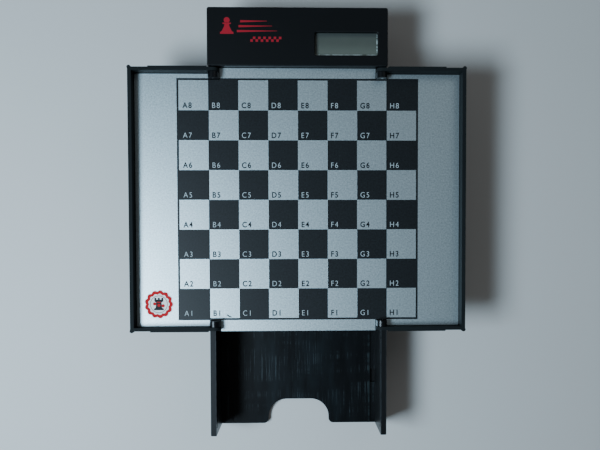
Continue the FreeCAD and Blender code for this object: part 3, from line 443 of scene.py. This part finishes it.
def battery_foil(name):
    """Printed cell jackets: dark band towards one end, metal at the tips."""
    g = Graph(name)
    y = g.axes()[1]
    low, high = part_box("battery_cells")
    along = g.math("DIVIDE", g.math("SUBTRACT", y, low.y), high.y - low.y)
    band = g.step(along, 0.70, 0.71)
    ends = g.math("ADD", g.math("LESS_THAN", along, 0.035),
                  g.math("GREATER_THAN", along, 0.965), clamp=True)
    scuffs = g.noise(500, 4.0, 0.7)
    shade = g.mix(band, (0.03, 0.09, 0.24), (0.45, 0.30, 0.08))
    shade = g.mix(g.math("MULTIPLY", scuffs, 0.3), shade, (0.10, 0.12, 0.16))
    shade = g.mix(ends, shade, (0.6, 0.6, 0.58))
    return g.finish(shade, g.blend(scuffs, 0.22, 0.4), g.bump(scuffs, 0.01 * MM, 0.3),
                    Metallic=g.blend(ends, 0.35, 1.0))


def pale_floor(name):
    """A plain pale table top."""
    g = Graph(name)
    soft = g.noise(6, 4.0, 0.6)
    fine = g.noise(900, 3.0, 0.6)
    shade = g.mix(g.math("MULTIPLY", soft, 0.5), (0.66, 0.645, 0.62), (0.60, 0.585, 0.56))
    return g.finish(shade, g.blend(fine, 0.55, 0.7), g.bump(fine, 0.05 * MM, 0.2))


# ------------------------------------------------------------------------- materials on nodes
def dress():
    """Give every CAD node its material."""
    inner = spark_plastic("inner_black", "lcd_holder", (0.030, 0.031, 0.033))
    silver = board_print("board_print")
    rubber = soft_rubber("soft_rubber", (0.020, 0.020, 0.021))
    steel = plated_steel("plated_steel")
    table = {
        "case_tray": tray_plastic("case_tray_black"),
        "head_cover": spark_plastic("head_black", "head_cover"),
        "battery_door": spark_plastic("door_black", "battery_door"),
        "keypad_deck": spark_plastic("deck_black", "keypad_deck", (0.005, 0.006, 0.007)),
        "board_carrier": spark_plastic("carrier_black", "board_carrier", BLACK, 0.30, 0.35),
        "centre_sheet": silver, "left_sheet": silver, "right_sheet": silver,
        "left_runner": runner_plastic("runner_plastic"), "hinge_pins": steel,
        "battery_contacts": steel, "crystal_can": steel,
        "case_screws": plated_steel("screw_steel", (0.34, 0.33, 0.31), 0.36),
        "lcd_window": clear_window("clear_window"), "lcd_glass": display_cell("display_cell"),
        "lcd_holder": inner, "battery_holder": inner, "switch_body": inner,
        "power_jack": inner, "piezo_buzzer": inner, "processor_chip": inner,
        "memory_chips": inner, "contact_strips": soft_rubber("strip_rubber", (0.16, 0.04, 0.06)),
        "key_mat": soft_rubber("mat_rubber", (0.05, 0.052, 0.055)), "rubber_feet": rubber,
        "main_board": circuit_board("circuit_board"),
        "battery_cells": battery_foil("battery_foil"),
        "switch_knob": key_plastic("switch_red", (0.36, 0.028, 0.022)),
    }
    for side in ("left", "right"):
        tray = side + "_wing_tray"
        table[tray] = spark_plastic(side + "_wing_black", tray, WING, 0.60, 0.05, 0.2)
    table["right_runner"] = table["left_runner"]
    grey = key_plastic("key_grey", (0.30, 0.315, 0.32))
    for name in NODES:
        if name.startswith("key_") and name != "key_mat":
            table[name] = grey
    for name, node in NODES.items():
        node.data.materials.clear()
        node.data.materials.append(table[name])


# ------------------------------------------------------------------------------ printed pieces
def shape(points, cx, cy, size):
    return [(cx + size * x, cy + size * y) for x, y in points]


def circle(cx, cy, radius, count=48):
    return [(cx + radius * math.cos(2 * math.pi * k / count),
             cy + radius * math.sin(2 * math.pi * k / count)) for k in range(count)]


def rectangle(x0, y0, x1, y1):
    return [(x0, y0), (x1, y0), (x1, y1), (x0, y1)]


LOBES = 13                                       # round the edge of the seal


def scallops(cx, cy, radius, depth, count=240):
    """A round outline with lobes, cut in by a depth between them."""
    points = []
    for k in range(count):
        angle = 2 * math.pi * k / count
        r = radius - depth * (1 - abs(math.cos(LOBES * angle / 2)))
        points.append((cx + r * math.cos(angle), cy + r * math.sin(angle)))
    return points


def ink_piece(name, outlines, height, thickness, material, body):
    """A flat closed solid from outlines in X and Y; an outline inside another is a hole."""
    curve = bpy.data.curves.new(name, "CURVE")
    curve.dimensions = "2D"
    curve.fill_mode = "BOTH"
    curve.extrude = thickness / 2
    for outline in outlines:
        spline = curve.splines.new("POLY")
        spline.points.add(len(outline) - 1)
        for point, (x, y) in zip(spline.points, outline):
            point.co = (x, y, 0, 1)
        spline.use_cyclic_u = True
    return settle(name, [curve_mesh(curve)], height + thickness / 2, material, body)


def curve_mesh(curve):
    """The mesh of a text or curve."""
    holder = bpy.data.objects.new("outline", curve)
    bpy.context.scene.collection.objects.link(holder)
    bpy.context.view_layer.update()
    graph = bpy.context.evaluated_depsgraph_get()
    mesh = bpy.data.meshes.new_from_object(holder.evaluated_get(graph), depsgraph=graph)
    bpy.data.objects.remove(holder)
    return mesh


def settle(name, meshes, height, material, body):
    """Join meshes into one piece at a height, weld it and let it ride."""
    whole = bmesh.new()
    for mesh in meshes:
        whole.from_mesh(mesh)
    bmesh.ops.remove_doubles(whole, verts=whole.verts, dist=1e-7)
    bmesh.ops.recalc_face_normals(whole, faces=whole.faces)
    data = bpy.data.meshes.new(name)
    whole.to_mesh(data)
    whole.free()
    piece = bpy.data.objects.new(name, data)
    bpy.context.scene.collection.objects.link(piece)
    for vertex in data.vertices:
        vertex.co.z += height
    data.materials.clear()
    data.materials.append(material)
    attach(piece, body)
    return piece


CAP_SHARE = 0.70                                 # height of the capitals, of the font's size


def text_mesh(text, x, y, tall, narrow=1.0, spacing=1.12, bold=0.0):
    """The mesh of a short text whose lower left corner is at x and y."""
    curve = bpy.data.curves.new("label", "FONT")
    curve.body = text
    curve.size = tall / CAP_SHARE
    curve.space_character = spacing
    curve.extrude = INK / 2
    curve.offset = bold
    curve.resolution_u = 6
    mesh = curve_mesh(curve)
    for vertex in mesh.vertices:
        vertex.co.x = narrow * vertex.co.x + x
        vertex.co.y += y
    return mesh


LABEL_TALL = 3.3 * MM
LABEL_IN = 1.85 * MM                             # from the left edge of the square
LEFT_SHIFT = 1.3                                 # the left wing's labels stand further in
LABEL_UP = 1.4 * MM                              # from the front edge of the square
LABEL_NARROW = 0.90                              # width of the letters against the font's
LABEL_SPACING = 1.27                             # from letter to letter against the font's
PALE_BOLD = -0.075 * MM                          # strokes thinned on the dark squares
DARK_BOLD = 0.11 * MM                            # and thickened on the silver ones


def print_coordinates():
    """A1 to H8 in the lower left corner of each square."""
    pale = printed_ink("ink_pale", (0.62, 0.70, 0.72))
    grey = printed_ink("ink_grey", (0.003, 0.004, 0.005), 0.72)
    sheets = {"left": ("left_wing", range(0, 1)), "centre": ("board", range(1, 7)),
              "right": ("right_wing", range(7, 8))}
    for word, (body, files) in sheets.items():
        meshes = {True: [], False: []}
        for column in files:
            for rank in range(FILES):
                dark = (column + rank) % 2 == 0
                inset = LABEL_IN * (LEFT_SHIFT if column == 0 else 1.0)
                x = BOARD_LEFT + column * SQUARE + inset
                y = RANK_ONE + rank * SQUARE + LABEL_UP
                text = "ABCDEFGH"[column] + str(rank + 1)
                bold = PALE_BOLD if dark else DARK_BOLD
                meshes[dark].append(text_mesh(text, x, y, LABEL_TALL, LABEL_NARROW,
                                              LABEL_SPACING, bold))
        for dark, material, shade in ((True, pale, "pale"), (False, grey, "dark")):
            settle("%s_%s_coordinates" % (word, shade), meshes[dark], PLAY_Z + 0.6 * INK,
                   material, body)


# the tick's outline in millimetres
TICK = ((-0.4, 1.6), (0.2, 2.1), (1.3, 1.2), (2.6, 0.7), (2.6, 0.1), (1.0, 0.5))


def print_tick():
    """A short pencil mark beside B1."""
    x, y = BOARD_LEFT + 1.58 * SQUARE, RANK_ONE + 0.01 * SQUARE
    mark = shape(TICK, x, y, MM)
    ink_piece("pencil_tick", [mark], PLAY_Z + 0.1 * INK, INK,
              printed_ink("pencil", (0.004, 0.005, 0.006)), "board")


# outlines of chessmen of height 1 with their foot at the origin; the pawn's head is left out
PAWN = ((-0.40, 0.0), (0.40, 0.0), (0.40, 0.10), (0.30, 0.16), (0.17, 0.42), (0.13, 0.56),
        (0.25, 0.60), (0.25, 0.66), (-0.25, 0.66), (-0.25, 0.60), (-0.13, 0.56), (-0.17, 0.42),
        (-0.30, 0.16), (-0.40, 0.10))
ROOK = ((-0.40, 0.0), (0.40, 0.0), (0.40, 0.12), (0.26, 0.20), (0.22, 0.62), (0.36, 0.72),
        (0.36, 1.0), (0.20, 1.0), (0.20, 0.86), (0.08, 0.86), (0.08, 1.0), (-0.08, 1.0),
        (-0.08, 0.86), (-0.20, 0.86), (-0.20, 1.0), (-0.36, 1.0), (-0.36, 0.72), (-0.22, 0.62),
        (-0.26, 0.20), (-0.40, 0.12))

EMBLEM_IN = 12.0 * MM                            # pawn's middle from the left side of the head
EMBLEM_DOWN = 16.0 * MM                          # pawn's foot from the far edge of the head
PAWN_TALL = 10.0 * MM
CHEQUER = 1.55 * MM                              # side of a small square


def print_emblem():
    """A plain red emblem on the head: a pawn, three tapering lines and a short chequer."""
    red = printed_ink("ink_red", (0.42, 0.018, 0.032), 0.42)
    pawn_x = HEAD_LOW.x + EMBLEM_IN
    base = HEAD_HIGH.y - EMBLEM_DOWN
    outlines = [shape(PAWN, pawn_x, base, PAWN_TALL),
                circle(pawn_x, base + 0.81 * PAWN_TALL, 0.175 * PAWN_TALL)]
    for k in range(3):
        y = base + (1.0 + 2.9 * k) * MM
        x0 = pawn_x + (6.0 + 1.0 * k) * MM
        x1 = x0 + (24.0 - 4.0 * k) * MM
        outlines.append([(x0, y), (x1, y + 0.75 * MM), (x1, y + 0.95 * MM), (x0, y + 1.3 * MM)])
    ink_piece("head_emblem", outlines, HEAD_HIGH.z + INK, INK, red, "case")
    squares = []
    for k in range(12):
        x = pawn_x + 14.0 * MM + k * CHEQUER
        y = base - 4.6 * MM + (k % 2) * CHEQUER
        squares.append(rectangle(x, y, x + 0.96 * CHEQUER, y + 0.96 * CHEQUER))
    ink_piece("head_chequer", squares, HEAD_HIGH.z + INK, INK, red, "case")


SEAL_RADIUS = 8.8 * MM
SEAL_IN = 13.4 * MM                              # centre from the outer edge of the wing's sheet
SEAL_UP = 8.6 * MM                               # centre above the front edge of rank 1
LOBE_DEPTH = 0.9 * MM


def place_sticker():
    """A round scalloped sticker on the left margin, with a rook on it."""
    cx = LEFT_LOW.x + SEAL_IN
    cy = RANK_ONE + SEAL_UP
    paper = sticker_paper("sticker_paper")
    red = printed_ink("sticker_red", (0.56, 0.004, 0.010), 0.6)
    black = printed_ink("sticker_black", (0.010, 0.010, 0.014), 0.5)

    def stamp(name, outlines, material, layer=0.0):
        ink_piece(name, outlines, PLAY_Z + PAPER + layer * INK, INK, material, "left_wing")

    ink_piece("seal_sticker", [scallops(cx, cy, SEAL_RADIUS, LOBE_DEPTH)], PLAY_Z, PAPER,
              paper, "left_wing")
    stamp("seal_ring", [scallops(cx, cy, SEAL_RADIUS - 0.25 * MM, LOBE_DEPTH),
                        scallops(cx, cy, SEAL_RADIUS - 2.3 * MM, 0.7 * MM)], red)
    stamp("seal_line", [circle(cx, cy, 5.3 * MM, 96), circle(cx, cy, 5.0 * MM, 96)], black)
    stamp("seal_rook", [shape(ROOK, cx, cy - 3.6 * MM, 7.6 * MM)], black)
    dots = [circle(cx - 2.6 * MM, cy + 0.3 * MM, 1.0 * MM),
            circle(cx + 2.6 * MM, cy - 0.9 * MM, 1.0 * MM),
            circle(cx, cy - 0.6 * MM, 0.9 * MM),
            rectangle(cx - 1.2 * MM, cy + 1.0 * MM, cx + 1.2 * MM, cy + 1.5 * MM)]
    stamp("seal_dots", dots, red, 1.2)


KEY_TEXT = 3.0 * MM                              # height of the letters on the keys
KEY_SIGN = 1.7 * MM                              # half the size of the signs


def print_keys():
    """Coordinates on the eight move keys, plain signs on the others."""
    pale = printed_ink("ink_key", (0.045, 0.050, 0.055))
    for name in sorted(NODES):
        if not name.startswith("key_") or name == "key_mat":
            continue
        low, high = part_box(name)
        cx, cy = (low.x + high.x) / 2, (low.y + high.y) / 2
        word = name[4:]
        if len(word) == 2:
            meshes = [text_mesh(word.upper(), cx - 2.6 * MM, cy - KEY_TEXT / 2, KEY_TEXT)]
            settle(name + "_print", meshes, high.z + 0.6 * INK, pale, name)
            continue
        r = KEY_SIGN
        signs = {
            "info": [circle(cx, cy, r), circle(cx, cy, r * 0.72)],
            "memory": [rectangle(cx - r, cy - r, cx + r, cy - 0.4 * r),
                       rectangle(cx - r, cy + 0.4 * r, cx + r, cy + r)],
            "position": [rectangle(cx - r, cy - r, cx, cy), rectangle(cx, cy, cx + r, cy + r)],
            "level": [rectangle(cx - r + k * 0.8 * r, cy - r, cx - r + (k * 0.8 + 0.5) * r,
                                cy - r + (k + 1) * 0.66 * r) for k in range(3)],
            "reset": [circle(cx, cy, r * 0.8)],
            "turn": [[(cx - r, cy), (cx, cy - r), (cx, cy + r)],
                     [(cx + r, cy), (cx + 0.2 * r, cy + r), (cx + 0.2 * r, cy - r)]],
            "clear": [[(cx - r, cy), (cx + 0.6 * r, cy - r), (cx + 0.6 * r, cy + r)]],
            "enter": [[(cx + r, cy), (cx - 0.6 * r, cy + r), (cx - 0.6 * r, cy - r)]],
        }
        ink_piece(name + "_print", signs[word], high.z + 0.1 * INK, INK, pale, name)


# ------------------------------------------------------------------------ floor, light, camera
FLOOR_REACH = 3.0


def make_floor():
    """The table top, for the pictures only."""
    mesh = bpy.data.meshes.new("floor")
    outline = rectangle(-FLOOR_REACH, -FLOOR_REACH, FLOOR_REACH, FLOOR_REACH)
    mesh.from_pydata([(x, y, 0) for x, y in outline], [], [(0, 1, 2, 3)])
    floor = bpy.data.objects.new("floor", mesh)
    mesh.materials.append(pale_floor("pale_floor"))
    bpy.context.scene.collection.objects.link(floor)


def add_light(name, place, size, power, colour):
    """A rectangular light that faces the origin."""
    light = bpy.data.lights.new(name, "AREA")
    light.shape = "RECTANGLE"
    light.size, light.size_y = size
    light.energy = power
    light.color = colour
    lamp = bpy.data.objects.new(name, light)
    lamp.location = place
    lamp.rotation_euler = (-Vector(place)).to_track_quat("-Z", "Y").to_euler()
    bpy.context.scene.collection.objects.link(lamp)


# lights: place and size in metres, power in watts
WINDOW_PLACE = (-0.385, -0.16, 0.60)
WINDOW_SIZE = (0.32, 0.20)
WINDOW_POWER = 6.0
WINDOW_COLOUR = (0.74, 0.98, 1.18)
FILL_PLACE = (0.9, 0.9, 1.2)
FILL_SIZE = (1.0, 1.0)
FILL_POWER = 1.5
FILL_COLOUR = (0.93, 0.97, 1.0)
SKY_COLOUR = (0.90, 0.96, 1.0, 1)
SKY_STRENGTH = 0.10


def light_scene():
    """One window high on the left, a weak fill and a dim sky."""
    world = bpy.data.worlds.new("studio")
    world.use_nodes = True
    sky = world.node_tree.nodes["Background"]
    sky.inputs["Color"].default_value = SKY_COLOUR
    sky.inputs["Strength"].default_value = SKY_STRENGTH
    bpy.context.scene.world = world
    add_light("window", WINDOW_PLACE, WINDOW_SIZE, WINDOW_POWER, WINDOW_COLOUR)
    add_light("fill", FILL_PLACE, FILL_SIZE, FILL_POWER, FILL_COLOUR)


SENSOR = 36.0                                    # width in millimetres
FOCAL = 1.102                                    # focal length, as a share of the sensor's width
CAMERA_SHIFT = (-0.0200, 0.0852)
CAMERA_PLACE = (-1.70 * MM, -17.34 * MM, 441.56 * MM)
CAMERA_TURN = (-1.922, -1.424, -0.156)           # degrees


def place_camera():
    """Almost straight above the board."""
    camera = bpy.data.cameras.new("camera")
    camera.sensor_width = SENSOR
    camera.lens = FOCAL * SENSOR
    camera.shift_x, camera.shift_y = CAMERA_SHIFT
    holder = bpy.data.objects.new("camera", camera)
    holder.location = CAMERA_PLACE
    holder.rotation_euler = [math.radians(angle) for angle in CAMERA_TURN]
    bpy.context.scene.collection.objects.link(holder)
    bpy.context.scene.camera = holder


dress()
print_coordinates()
print_tick()
print_emblem()
place_sticker()
print_keys()
make_floor()
light_scene()
place_camera()
